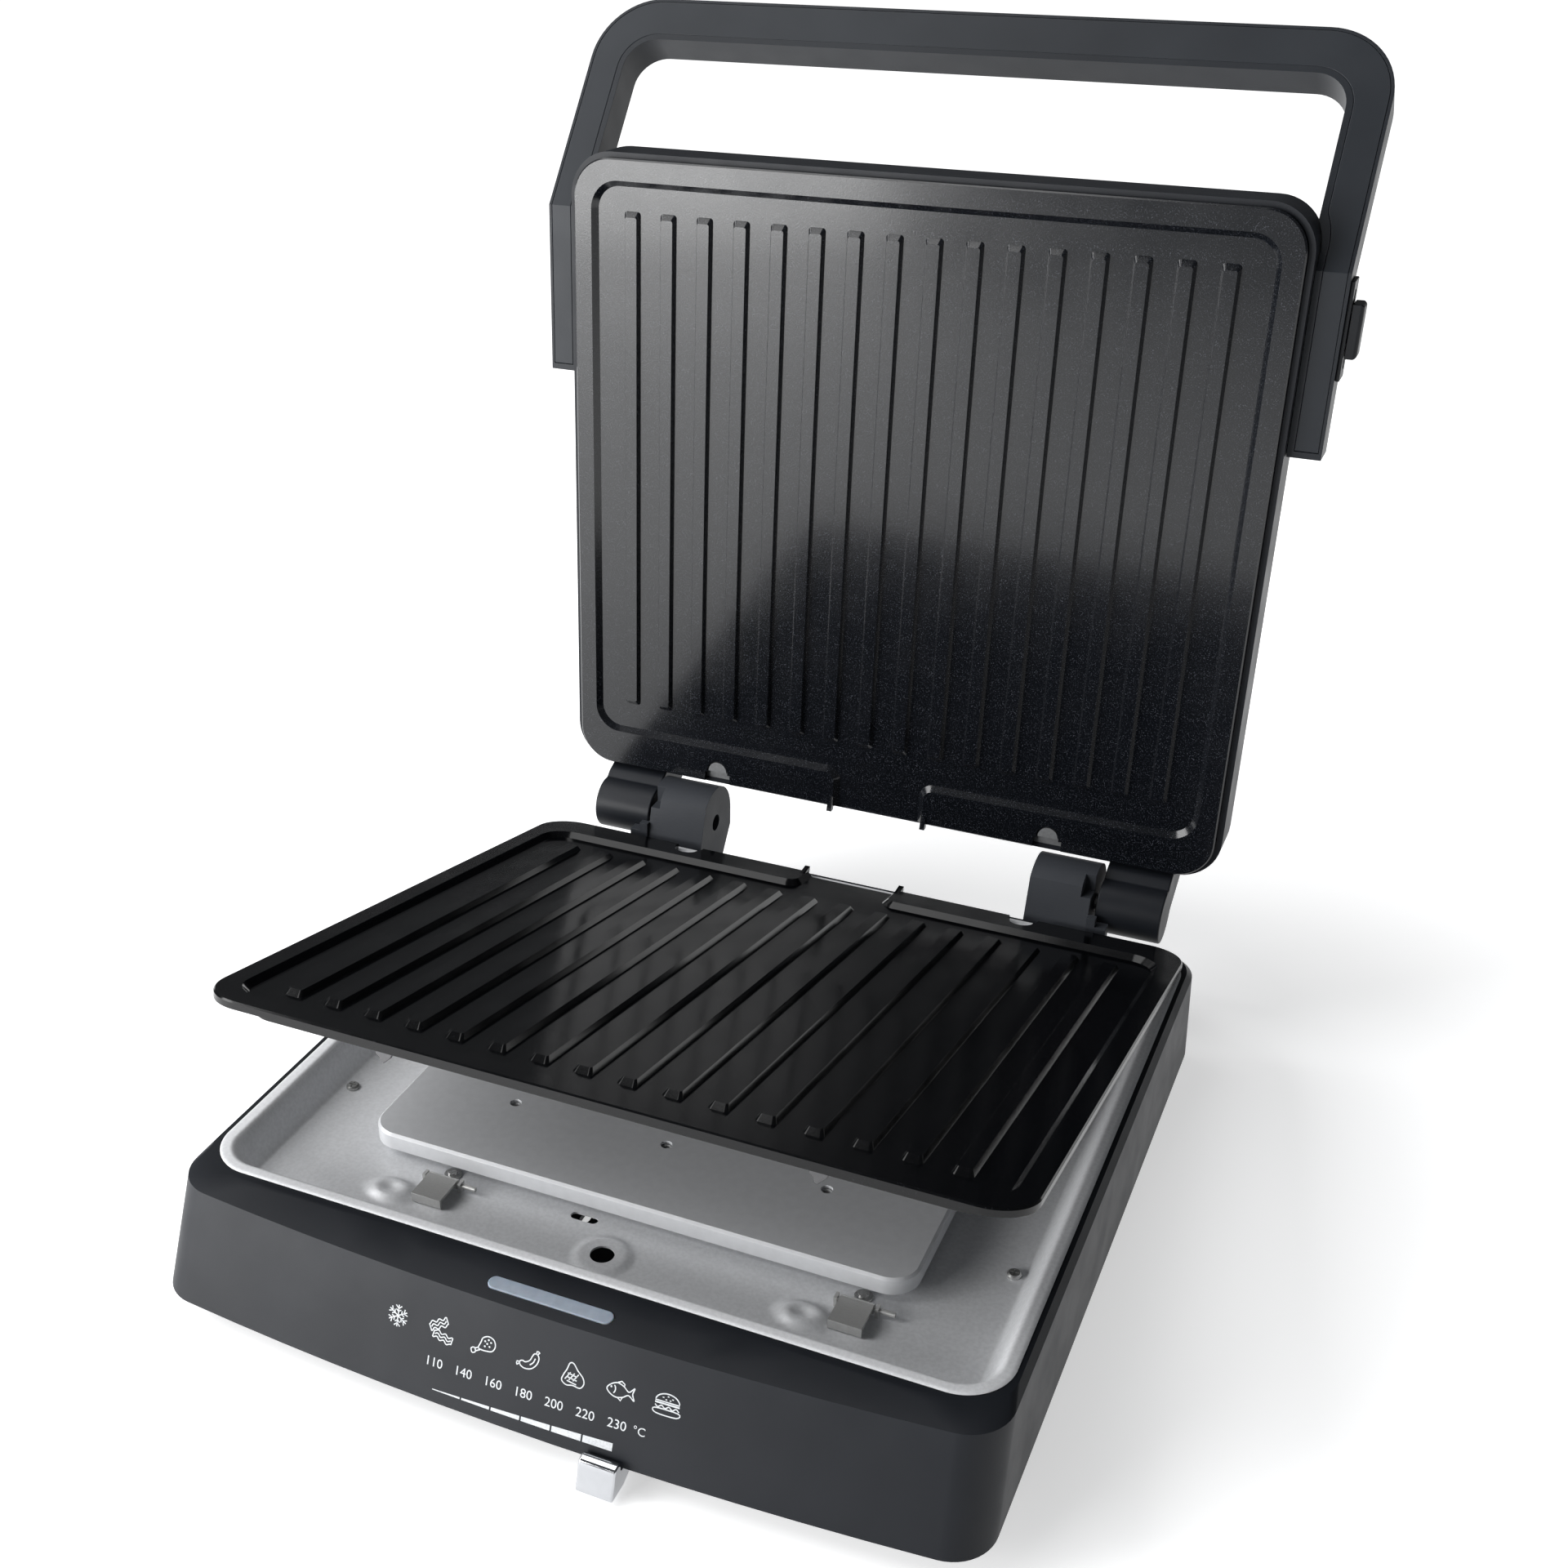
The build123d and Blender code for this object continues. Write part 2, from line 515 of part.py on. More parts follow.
def lid_barrel(side):
    """Barrel and its neck up into the lid, in the lid frame."""
    x0, x1 = sorted((side * BARREL_X[0], side * BARREL_X[1]))
    pin_y, pin_z = axis_in_lid()
    barrel = rod(BARREL_R, x0, x1, pin_y, pin_z)
    neck = [(pin_y - 4, pin_z + 8), (pin_y + 3.5, pin_z + 15.0), (pin_y + 9.0, LID_LOW),
            (LID_BACK - 4, LID_LOW), (LID_BACK - 6, LID_LOW - 8), (pin_y + 12, pin_z - 3),
            (pin_y + 6, pin_z - 6)]
    barrel += side_prism(neck, x0, x1)
    stop = sorted((side * (BARREL_X[1] - 3 + 0.3), side * (BARREL_X[0] - 1)))
    barrel -= rod(AXLE_R + RUNNING_FIT, stop[0], stop[1], pin_y, pin_z)
    return barrel


def axis_in_lid():
    """Hinge axis in the lid frame."""
    a = math.radians(LID_LEAN)
    dy = AXIS_Y - LID_Y
    dz = AXIS_Z - LID_Z
    return dy * math.cos(a) - dz * math.sin(a), dy * math.sin(a) + dz * math.cos(a)


def handle_side(front, depth, trim):
    """Bent strip seen from the side: lower part and upper part as outlines in Y-Z."""
    b = math.radians(BEND)
    across = (math.cos(b), -math.sin(b))
    along = (math.sin(b), math.cos(b))
    mitre = math.tan(b / 2)
    f0 = (front, BEND_AT + (HANDLE_FRONT - front) * mitre)
    r0 = (front + depth, BEND_AT + (HANDLE_FRONT - front - depth) * mitre)
    reach = HANDLE_REACH - trim

    def bent(off):
        y = HANDLE_FRONT + along[0] * reach + across[0] * off
        return y, BEND_AT + along[1] * reach + across[1] * off

    lower = [(front, ARM_END + 2 * trim), (front + depth, ARM_END + 2 * trim), r0, f0]
    upper = [f0, r0, bent(front + depth - HANDLE_FRONT), bent(front - HANDLE_FRONT)]
    return lower, upper


def handle_body(front, depth, trim_out=0.0, trim_in=0.0):
    """U handle: arms beside the lid, bent back, joined by a bar with round corners."""
    lower, upper = handle_side(front, depth, trim_out)
    out = HANDLE_OUT - trim_out
    beside = HANDLE_OUT - HANDLE_ARM + trim_in
    inner = HANDLE_OUT - HANDLE_HIGH_ARM + trim_in
    arms = side_prism(lower, -out, out) - box(-beside, beside, -50, 100, 0, 400)
    high = side_prism(upper, -out, out)
    frame = Location((0, HANDLE_FRONT, BEND_AT), (-BEND, 0, 0))
    u_out = Rot(90, 0, 0) * RectangleRounded(2 * out, 2 * (HANDLE_REACH - trim_out), 29 - trim_out)
    u_in = Rot(90, 0, 0) * RectangleRounded(2 * inner, 2 * (HANDLE_REACH - BAR_W + trim_in), 14 + trim_in)
    ring = extrude(u_out, 80, dir=(0, 1, 0), both=True) - extrude(u_in, 81, dir=(0, 1, 0), both=True)
    gap = 0.3 + trim_in
    lid_room = lid_slab(LID_HALF + gap, LID_LOW, LID_TOP + gap, LID_R, -5, LID_BACK + gap)
    return arms + (high & (frame * ring)) - lid_room


def build_lid():
    add("lid_housing", LID * lid_housing())
    add("heat_tray_upper", UPPER_TRAY * heat_tray_upper())
    add("heating_block_upper", UPPER_TRAY * heating_block())
    add("heater_element_upper", UPPER_TRAY * element(3.2))
    add("block_standoffs_upper", UPPER_TRAY * group(block_feet()))
    add("block_screws_upper", UPPER_TRAY * group(block_screws()))
    add("latch_rivets_upper", UPPER_TRAY * group(latch_rivets(LID_TRAY_D / 2)))
    add("latch_pins_upper", UPPER_TRAY * group(latch_pin(x, LID_TRAY_D / 2) for x in LATCH_XS))
    add("latch_upper_right", UPPER_TRAY * latch_flap(LATCH_XS[0], LID_TRAY_D / 2))
    add("latch_upper_left", UPPER_TRAY * latch_flap(LATCH_XS[1], LID_TRAY_D / 2))
    add("hinge_barrel_left", LID * lid_barrel(-1))
    add("hinge_barrel_right", LID * lid_barrel(1))
    handle = handle_body(HANDLE_FRONT, HANDLE_T) - handle_body(HANDLE_FRONT - 1, 2.2, INLAY_OUT, INLAY_IN)
    for side in (-1, 1):
        for z in HANDLE_SCREWS:
            handle -= rod(1.65, *sorted((side * (LID_HALF - 1), side * (LID_HALF + 7))), 16, z)
    add("handle_frame", LID * handle)
    add("handle_inlay", LID * handle_body(HANDLE_FRONT, 1.2, INLAY_OUT + 0.1, INLAY_IN + 0.1))
    screws = []
    for side in (-1, 1):
        for z in HANDLE_SCREWS:
            head = sorted((side * (LID_HALF - WALL), side * (LID_HALF - WALL - 1.8)))
            shank = sorted((side * (LID_HALF - WALL), side * (LID_HALF + 6)))
            screws.append(rod(3.2, *head, 16, z) + rod(1.6, *shank, 16, z))
    add("handle_screws", LID * group(screws))
    plate = box(HANDLE_OUT, HANDLE_OUT + 1.6, 9.5, 21.5, 188, 226)
    plate -= box(HANDLE_OUT - 1, HANDLE_OUT + 3, 13.6, 17.4, 192, 222)
    add("lock_plate", LID * plate)


def heat_tray_upper():
    """Lid tray, with half-round tongues that stand in the plate's notches."""
    d = LID_TRAY_D / 2
    tray = heat_tray(d)
    shift = (PLATE_D / 2) - 6
    for side in (-1, 1):
        mid = side * 81.5
        tongue = post(4.6, mid, shift, 0, FLANGE_T) & box(mid - 6, mid + 6, shift - 6, shift + 0.2, -1, 5)
        tray += tongue + box(mid - 4.6, mid + 4.6, shift, d - 2, 0, 0.9)
    return tray


def build_plates():
    add("upper_plate", UPPER_PLATE * grill_plate())
    add("plate_hooks_upper", UPPER_PLATE * plate_hooks())
    add("lower_plate", lower_plate_place() * grill_plate())
    add("plate_hooks_lower", lower_plate_place() * plate_hooks())


PIVOT_Y = TRAY_MID + PLATE_D / 2
PIVOT_Z = RIM_Z + SEAT_GAP


def lower_plate_place():
    """Seated place of the lower plate, turned about its back edge."""
    seated = Location((0, -PLATE_D / 2, FLANGE_T))
    return Location((0, PIVOT_Y, PIVOT_Z), (-PLATE_TILT, 0, 0)) * seated


def build_lock():
    knob = box(HANDLE_OUT + 1.9, HANDLE_OUT + 6.4, 10.5, 20.5, 196.5, 217.5)
    knob = chamfer(knob.faces().sort_by(Axis.X)[-1].edges(), 1.0)
    knob += box(HANDLE_OUT + 0.3, HANDLE_OUT + 2.2, 14.0, 17.0, 202, 212)
    add("lock_slider", LID * knob)


# ---------------------------------------------------------------- drip drawer
def build_drip_drawer():
    """Drawer for the fat, pulled out at the left under the back of the tray."""
    y0, y1 = DRAWER_Y
    outside = base_shape(0.2, HOUSE_BOTTOM, CREASE_Z, 0)
    inside = base_shape(2.4, HOUSE_BOTTOM, CREASE_Z, 0)
    room = base_shape(4.4, HOUSE_BOTTOM, CREASE_Z, 0)
    drawer = box(-170, DRAWER_END, y0, y1, 13.6, DRAWER_TOP) & inside
    drawer -= box(-170, DRAWER_END - 2, y0 + 2, y1 - 1.2, 15.4, DRAWER_TOP + 2) & room
    drawer += box(-170, -150, y0 - 0.8, y1, 13.6, DRAWER_TOP + 2.4) & (outside - room)
    drawer += box(-163, -158, y0 + 20, y0 + 50, 22, 26)
    add("drip_tray", drawer)


build_base()
build_slider()
build_hinge()
build_lid()
build_plates()
build_lock()
build_drip_drawer()

os.makedirs("parts", exist_ok=True)
for node, shape in parts.items():
    placed = (Pos(MOVE_X, MOVE_Y, 0) * shape).solids()
    whole = placed[0] if len(placed) == 1 else Compound(placed)
    export_step(whole, "parts/" + node + ".step")
print(len(parts), "nodes")
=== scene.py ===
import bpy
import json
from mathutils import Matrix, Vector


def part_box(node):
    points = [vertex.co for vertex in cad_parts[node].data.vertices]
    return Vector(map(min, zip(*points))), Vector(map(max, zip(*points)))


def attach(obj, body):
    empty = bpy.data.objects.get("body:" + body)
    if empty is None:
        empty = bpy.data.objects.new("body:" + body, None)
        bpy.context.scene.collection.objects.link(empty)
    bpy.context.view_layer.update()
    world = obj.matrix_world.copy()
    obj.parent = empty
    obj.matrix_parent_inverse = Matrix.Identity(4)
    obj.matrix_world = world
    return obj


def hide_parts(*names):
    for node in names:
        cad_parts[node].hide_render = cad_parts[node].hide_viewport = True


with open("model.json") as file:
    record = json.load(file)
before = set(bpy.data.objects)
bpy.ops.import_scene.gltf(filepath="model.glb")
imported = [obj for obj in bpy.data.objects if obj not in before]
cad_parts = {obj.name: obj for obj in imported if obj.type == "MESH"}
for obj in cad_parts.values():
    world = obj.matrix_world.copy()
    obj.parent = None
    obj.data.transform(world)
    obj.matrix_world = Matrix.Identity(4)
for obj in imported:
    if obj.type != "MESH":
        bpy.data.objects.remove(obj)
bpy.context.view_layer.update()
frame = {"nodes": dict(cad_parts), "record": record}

import json
import math

import bmesh
import bpy
from mathutils import Matrix, Vector
from mathutils.bvhtree import BVHTree

MM = 0.001
RECORD = frame["record"]
BODY_OF = {n: b for b, nodes in RECORD["behaviour"]["bodies"].items() for n in nodes}
SLOT_OF = {s["node"]: s["material_slot"] for s in RECORD["subparts"]}


# ---------------------------------------------------------------- materials
class Shader:
    """A principled material with a few helpers for procedural detail."""

    def __init__(self, name, color, rough, metal=0.0):
        self.mat = bpy.data.materials.new(name)
        self.mat.use_nodes = True
        self.nodes = self.mat.node_tree.nodes
        self.links = self.mat.node_tree.links
        self.bsdf = self.nodes["Principled BSDF"]
        self.bsdf.inputs["Base Color"].default_value = (*color, 1)
        self.bsdf.inputs["Roughness"].default_value = rough
        self.bsdf.inputs["Metallic"].default_value = metal
        self.color = color
        self.rough = rough
        self.place = self.nodes.new("ShaderNodeTexCoord")

    def noise(self, scale, detail=3.0, stretch=(1, 1, 1)):
        mapping = self.nodes.new("ShaderNodeMapping")
        mapping.inputs["Scale"].default_value = stretch
        self.links.new(self.place.outputs["Object"], mapping.inputs["Vector"])
        tex = self.nodes.new("ShaderNodeTexNoise")
        tex.inputs["Scale"].default_value = scale
        tex.inputs["Detail"].default_value = detail
        self.links.new(mapping.outputs["Vector"], tex.inputs["Vector"])
        return tex.outputs["Fac"]

    def spread(self, fac, low, high, out_low, out_high):
        """Map a noise range to another range."""
        node = self.nodes.new("ShaderNodeMapRange")
        node.inputs["From Min"].default_value = low
        node.inputs["From Max"].default_value = high
        node.inputs["To Min"].default_value = out_low
        node.inputs["To Max"].default_value = out_high
        self.links.new(fac, node.inputs["Value"])
        return node.outputs["Result"]

    def tint(self, fac, other):
        """Mix the base colour towards another one by a factor."""
        mix = self.nodes.new("ShaderNodeMix")
        mix.data_type = "RGBA"
        mix.inputs["A"].default_value = (*self.color, 1)
        mix.inputs["B"].default_value = (*other, 1)
        self.links.new(fac, mix.inputs["Factor"])
        self.links.new(mix.outputs["Result"], self.bsdf.inputs["Base Color"])

    def vary_rough(self, fac, amount):
        result = self.spread(fac, 0.3, 0.7, self.rough - amount, self.rough + amount)
        self.links.new(result, self.bsdf.inputs["Roughness"])

    def bump(self, fac, depth_mm, strength=1.0):
        bump = self.nodes.new("ShaderNodeBump")
        bump.inputs["Strength"].default_value = strength
        bump.inputs["Distance"].default_value = depth_mm * MM
        self.links.new(fac, bump.inputs["Height"])
        self.links.new(bump.outputs["Normal"], self.bsdf.inputs["Normal"])


def plastic(name, color, rough, grain=1800, depth=0.02, gloss=0.24):
    s = Shader(name, color, rough)
    fine = s.noise(grain, 2.0)
    broad = s.noise(22, 2.0)
    lighter = tuple(min(1, c * 1.25 + 0.002) for c in color)
    s.tint(s.spread(broad, 0.3, 0.7, 0.0, 1.0), lighter)
    s.vary_rough(s.noise(60, 3.0), 0.04)
    s.bump(fine, depth)
    s.bsdf.inputs["Specular IOR Level"].default_value = gloss
    return s.mat


def coated_metal(name, color, rough, fleck, fleck_share, depth, coat):
    """Dark non-stick coating with fine light flecks."""
    s = Shader(name, color, rough)
    flecks = s.noise(2600, 1.0)
    s.tint(s.spread(flecks, 0.70 - fleck_share, 0.78, 0.0, 1.0), fleck)
    s.vary_rough(s.noise(45, 3.0), 0.03)
    s.bump(s.noise(1500, 2.0), depth)
    s.bsdf.inputs["Coat Weight"].default_value = coat
    s.bsdf.inputs["Coat Roughness"].default_value = 0.11
    s.bsdf.inputs["Specular IOR Level"].default_value = 0.22 + 0.8 * coat
    return s.mat


def sheet_metal(name, color, rough, grain, depth, metal=1.0, contrast=0.85, stretch=(1, 1, 1)):
    s = Shader(name, color, rough, metal)
    grains = s.noise(grain, 4.0, stretch)
    darker = tuple(c * contrast for c in color)
    s.tint(s.spread(grains, 0.35, 0.65, 0.0, 1.0), darker)
    s.vary_rough(s.noise(grain * 0.5, 3.0, stretch), 0.05)
    s.bump(grains, depth)
    return s.mat


def glow_plastic(name):
    s = Shader(name, (0.30, 0.33, 0.40), 0.35)
    s.tint(s.spread(s.noise(300, 3.0), 0.3, 0.7, 0.0, 1.0), (0.36, 0.39, 0.46))
    s.bsdf.inputs["Transmission Weight"].default_value = 0.15
    s.bsdf.inputs["Subsurface Weight"].default_value = 0.2
    s.bump(s.noise(900, 2.0), 0.01)
    return s.mat


def make_materials():
    charcoal = (0.0090, 0.0105, 0.0138)
    return {
        "housing_plastic": plastic("housing_charcoal", charcoal, 0.45),
        "hinge_plastic": plastic("hinge_grained", (0.030, 0.033, 0.039), 0.55, 900, 0.06),
        "handle_plastic": plastic("handle_charcoal", (0.0110, 0.0130, 0.0165), 0.42),
        "handle_cover": plastic("handle_inlay_satin", (0.0150, 0.0175, 0.0215), 0.42),
        "lock_plastic": plastic("lock_black", (0.007, 0.008, 0.010), 0.40),
        "plate_upper_coating": coated_metal(
            "nonstick_speckled", (0.0036, 0.0044, 0.0062), 0.20,
            fleck=(0.075, 0.08, 0.095), fleck_share=0.08, depth=0.022, coat=0.22),
        "plate_lower_coating": coated_metal(
            "nonstick_gloss", (0.0012, 0.0014, 0.0019), 0.14,
            fleck=(0.02, 0.02, 0.025), fleck_share=0.05, depth=0.004, coat=0.05),
        "tray_steel": sheet_metal(
            "aluminised_sheet", (0.82, 0.83, 0.85), 0.42, 700, 0.010, 0.12, 0.90),
        "cast_aluminium": sheet_metal(
            "block_satin", (0.70, 0.71, 0.73), 0.40, 260, 0.006, 0.15, 0.95),
        "heater_steel": sheet_metal("heater_tinted", (0.28, 0.25, 0.22), 0.4, 600, 0.01),
        "ceramic": plastic("ceramic_white", (0.72, 0.70, 0.64), 0.5, 800, 0.02),
        "screw_steel": sheet_metal("screw_zinc", (0.60, 0.60, 0.59), 0.30, 900, 0.004, 0.8),
        "latch_steel": sheet_metal(
            "latch_satin", (0.60, 0.60, 0.59), 0.38, 700, 0.006, 0.5, 0.92, stretch=(1, 6, 1)),
        "hook_steel": sheet_metal(
            "hook_dark_steel", (0.09, 0.09, 0.093), 0.35, 700, 0.006, 0.6, 0.92),
        "light_diffuser": glow_plastic("light_bar_frosted"),
        "circuit_board": plastic("board_green", (0.02, 0.12, 0.05), 0.4, 900, 0.01),
        "rubber": plastic("foot_rubber", (0.010, 0.010, 0.011), 0.7, 700, 0.03),
        "knob_chrome": sheet_metal(
            "knob_satin_chrome", (0.50, 0.51, 0.53), 0.14, 300, 0.001, 1.0, 0.97),
        "carriage_plastic": plastic("carriage_grey", (0.03, 0.03, 0.033), 0.5),
        "drip_plastic": plastic("drip_tray_black", (0.010, 0.011, 0.013), 0.42),
    }


MATERIALS = make_materials()


# ---------------------------------------------------------------- finished copies of the CAD nodes
BEVEL_MM = {
    "base_housing": 0.9, "lid_housing": 0.8, "handle_frame": 1.1, "handle_inlay": 0.35,
    "lower_plate": 0.38, "upper_plate": 0.38, "heating_block_lower": 0.7, "light_bar": 0.2,
    "slider_knob": 0.7, "hinge_block_left": 1.2, "hinge_block_right": 1.2,
    "hinge_barrel_left": 1.1, "hinge_barrel_right": 1.1, "latch_lower_left": 0.25,
    "latch_lower_right": 0.25, "drip_tray": 0.8, "rubber_feet": 0.8, "lock_slider": 0.5,
    "lock_plate": 0.4, "base_bottom_cover": 0.5,
}


def place(obj, body, slot, *replaced):
    """Ride, slot and material for a piece, and the CAD nodes that it stands for."""
    bpy.context.scene.collection.objects.link(obj)
    obj.data.materials.clear()
    obj.data.materials.append(MATERIALS[slot])
    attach(obj, body)
    if replaced:
        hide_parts(*replaced)
    return obj


def finished(node):
    """A welded copy of a CAD node with its edges rounded."""
    bm = bmesh.new()
    bm.from_mesh(frame["nodes"][node].data)
    bmesh.ops.remove_doubles(bm, verts=bm.verts, dist=2e-6)
    bmesh.ops.dissolve_limit(bm, angle_limit=math.radians(0.4), verts=bm.verts, edges=bm.edges)
    mesh = bpy.data.meshes.new(node + "_finished")
    for face in bm.faces:
        face.smooth = True
    bm.to_mesh(mesh)
    bm.free()
    mesh.set_sharp_from_angle(angle=math.radians(28))
    obj = bpy.data.objects.new(node + "_finished", mesh)
    bevel = obj.modifiers.new("round_edges", "BEVEL")
    bevel.width = BEVEL_MM.get(node, 0.2) * MM
    bevel.segments = 3
    bevel.limit_method = "ANGLE"
    bevel.angle_limit = math.radians(28)
    bevel.use_clamp_overlap = True
    bevel.miter_outer = "MITER_ARC"
    normals = obj.modifiers.new("even_normals", "WEIGHTED_NORMAL")
    normals.keep_sharp = False
    return place(obj, BODY_OF[node], SLOT_OF[node], node)


OWN_PIECES = {"heat_tray_lower"}
for cad_node in sorted(frame["nodes"]):
    if cad_node not in OWN_PIECES:
        piece = finished(cad_node)
        if cad_node == "heat_tray_upper":
            shaded = sheet_metal("sheet_in_shade", (0.20, 0.205, 0.21), 0.5, 700, 0.01, 0.2)
            piece.data.materials[0] = shaded


# ---------------------------------------------------------------- pressed tray of the base
RIM_FLAT = 5.0
WALL_RUN = 7.0
TRAY_DEPTH = 14.0
SHEET = 0.8
CORNER = 19.0
DIMPLES = ((-89.0, 27.5), (77.0, 27.5))      # x, distance from the tray's front edge
DIMPLE_HALF = (13.0, 8.5)
DIMPLE_RISE = 3.0
DIMPLE_DIP = 1.9
HOLE = (0.0, 26.6, 4.5)                      # x, distance from the front edge, radius
RING_RISE = 1.1
SLOT = (-15.5, 43.0, 5.5, 1.9)               # x, distance, half length, half width
EDGE_BAND = 14.0
FINE_STEP = 0.7
COARSE_STEP = 1.9


def smooth(t):
    t = max(0.0, min(1.0, t))
    return t * t * (3 - 2 * t)


def inside_rounded(x, y, half_x, half_y, radius):
    """Distance from a point inside a rounded rectangle to its outline."""
    dx = abs(x) - (half_x - radius)
    dy = abs(y) - (half_y - radius)
    outside = math.hypot(max(dx, 0), max(dy, 0))
    return radius - outside - min(max(dx, dy), 0)


def tray_height(x, y, half_x, half_y):
    """Height of the pressed sheet over its rim plane, all in millimetres."""
    edge = inside_rounded(x, y, half_x, half_y, CORNER)
    z = -TRAY_DEPTH * smooth((edge - RIM_FLAT + 1.0) / (WALL_RUN + 2.0))
    z -= 0.35 * (1 - smooth(edge / 0.9))
    from_front = y + half_y
    for cx, cy in DIMPLES:
        r = math.hypot((x - cx) / DIMPLE_HALF[0], (from_front - cy) / DIMPLE_HALF[1])
        z += DIMPLE_RISE * (1 - smooth((r - 0.30) / 0.70)) - DIMPLE_DIP * (1 - smooth(r / 0.6))
    r = math.hypot(x - HOLE[0], from_front - HOLE[1])
    z += RING_RISE * (1 - smooth((r - 8.0) / 4.5))
    return z


def grid_lines(half, fine_bands):
    """Positions from -half to half, closer together in the bands and near both edges."""
    lines = [-half]
    while lines[-1] < half:
        at = lines[-1]
        fine = any(a <= at <= b for a, b in fine_bands) or half - abs(at) < EDGE_BAND
        lines.append(min(half, at + (FINE_STEP if fine else COARSE_STEP)))
    return lines


def fit_to_outline(x, y, half_x, half_y):
    """Pull a point of the square grid's corners back onto the rounded outline."""
    cx = math.copysign(half_x - CORNER, x)
    cy = math.copysign(half_y - CORNER, y)
    if abs(x) <= abs(cx) or abs(y) <= abs(cy):
        return x, y
    dx, dy = x - cx, y - cy
    square = max(abs(dx), abs(dy))
    length = math.hypot(dx, dy)
    scale = square / length if length else 1.0
    return cx + dx * scale, cy + dy * scale


def round_cutter(name, x, y, z, radius, stretch):
    """Cylinder, or a stadium when stretch is not 0, that cuts a hole through the sheet."""
    bm = bmesh.new()
    ring = []
    for i in range(48):
        a = 2 * math.pi * i / 48
        dx = math.copysign(stretch, math.cos(a)) if stretch else 0
        at = (x + dx + radius * math.cos(a), y + radius * math.sin(a), z - 0.01)
        ring.append(bm.verts.new(at))
    face = bm.faces.new(ring)
    grown = bmesh.ops.extrude_face_region(bm, geom=[face])
    top = [v for v in grown["geom"] if isinstance(v, bmesh.types.BMVert)]
    bmesh.ops.translate(bm, vec=(0, 0, 0.02), verts=top)
    bmesh.ops.recalc_face_normals(bm, faces=bm.faces)
    mesh = bpy.data.meshes.new(name)
    bm.to_mesh(mesh)
    bm.free()
    obj = bpy.data.objects.new(name, mesh)
    bpy.context.scene.collection.objects.link(obj)
    return obj


def applied(obj):
    """Mesh of an object with its modifiers applied."""
    bpy.context.view_layer.update()
    evaluated = obj.evaluated_get(bpy.context.evaluated_depsgraph_get())
    return bpy.data.meshes.new_from_object(evaluated)


def pressed_tray():
    low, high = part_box("heat_tray_lower")
    middle = (low + high) / 2
    half_x = (high.x - low.x) / 2 / MM
    half_y = (high.y - low.y) / 2 / MM
    front = -half_y
    xs = grid_lines(half_x, ((-102, -76), (-20, 15), (63, 90)))
    ys = grid_lines(half_y, ((front + 14, front + 50),))
    bm = bmesh.new()
    rows = []
    for gy in ys:
        row = []
        for gx in xs:
            x, y = fit_to_outline(gx, gy, half_x, half_y)
            z = tray_height(x, y, half_x, half_y)
            row.append(bm.verts.new((middle.x + x * MM, middle.y + y * MM, high.z + z * MM)))
        rows.append(row)
    for a, b in zip(rows, rows[1:]):
        for i in range(len(a) - 1):
            bm.faces.new((a[i], a[i + 1], b[i + 1], b[i])).smooth = True
    mesh = bpy.data.meshes.new("tray_sheet")
    bm.to_mesh(mesh)
    bm.free()
    sheet = bpy.data.objects.new("tray_sheet", mesh)
    bpy.context.scene.collection.objects.link(sheet)
    solid = sheet.modifiers.new("sheet", "SOLIDIFY")
    solid.thickness = SHEET * MM
    solid.offset = -1
    cutters = []
    holes = ((*HOLE, 0.0), (SLOT[0], SLOT[1], SLOT[3], SLOT[2] - SLOT[3]))
    for cx, cy, radius, stretch in holes:
        y = middle.y + (front + cy) * MM
        z = high.z - TRAY_DEPTH * MM
        cutter = round_cutter("cutter", middle.x + cx * MM, y, z, radius * MM, stretch * MM)
        cut = sheet.modifiers.new("hole", "BOOLEAN")
        cut.object = cutter
        cut.operation = "DIFFERENCE"
        cut.solver = "EXACT"
        cutters.append(cutter)
    final = applied(sheet)
    for extra in (sheet, *cutters):
        bpy.data.objects.remove(extra)
    final.set_sharp_from_angle(angle=math.radians(40))
    tray = bpy.data.objects.new("tray_pressed", final)
    return place(tray, "base", "tray_steel", "heat_tray_lower")


pressed_tray()


# ---------------------------------------------------------------- print on the fascia
def housing_surface():
    mesh = frame["nodes"]["base_housing"].data
    return BVHTree.FromPolygons([v.co for v in mesh.vertices], [p.vertices for p in mesh.polygons])


HOUSING = housing_surface()
LOW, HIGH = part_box("base_housing")
MID_X = (LOW.x + HIGH.x) / 2
CREASE = HIGH.z - 2.6 * MM
FASCIA_RUN = 40.0 / 42.7       # drop in z for one millimetre down the slope


def on_fascia(x, down):
    """Point on the fascia: x from the middle and distance down from the crease, in millimetres."""
    start = Vector((MID_X + x * MM, LOW.y - 0.05, CREASE - down * FASCIA_RUN * MM))
    point, normal, _, _ = HOUSING.ray_cast(start, Vector((0, 1, 0)))
    return point - Vector((0, 1, 0)) * 0.05 * MM


def print_material():
    s = Shader("dial_print", (0.62, 0.64, 0.66), 0.5)
    s.tint(s.spread(s.noise(1500, 2.0), 0.4, 0.7, 0.0, 1.0), (0.50, 0.52, 0.54))
    s.bump(s.noise(2500, 1.0), 0.004)
    return s.mat


PRINT = print_material()


def put_print(name, verts, faces, x, down):
    """Lay flat artwork (millimetres, y up) on the fascia."""
    mesh = bpy.data.meshes.new(name)
    mesh.from_pydata([on_fascia(x + u, down - v) for u, v in verts], [], faces)
    obj = bpy.data.objects.new(name, mesh)
    bpy.context.scene.collection.objects.link(obj)
    mesh.materials.append(PRINT)
    ink = obj.modifiers.new("ink", "SOLIDIFY")
    ink.thickness = 0.04 * MM
    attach(obj, "base")
    return obj


